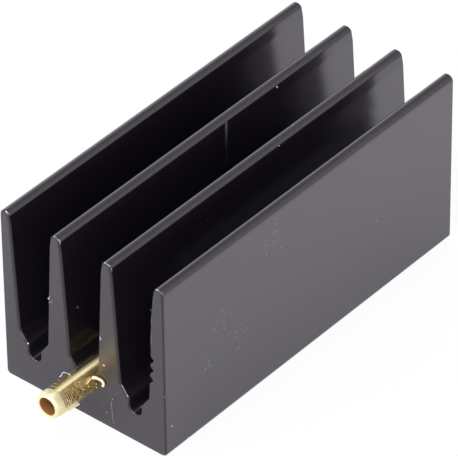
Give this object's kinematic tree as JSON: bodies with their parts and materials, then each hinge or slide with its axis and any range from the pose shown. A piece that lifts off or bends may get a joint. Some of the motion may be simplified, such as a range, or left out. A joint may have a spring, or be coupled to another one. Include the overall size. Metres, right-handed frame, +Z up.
{
  "type": "heat sink",
  "caption": "Black anodised aluminium heat sink, a sawn length of extrusion with tapered fins on a thick base and a hollow brass solder pin standing out of one end.",
  "frame": {"origin": "centre of the flat underside of the base, halfway along the extrusion", "axes": "+Z points up the fins, +Y runs along the extrusion away from the solder pin, +X points to the fin with the clip grooves"},
  "size_m": [0.0232, 0.0561, 0.0229],
  "materials": {
    "black_anodised": "satin black anodised",
    "pin_brass": "bright turned brass"
  },
  "bodies": {
    "root": {"finned_body": "black_anodised", "solder_pin": "pin_brass"}
  },
  "joints": []
}
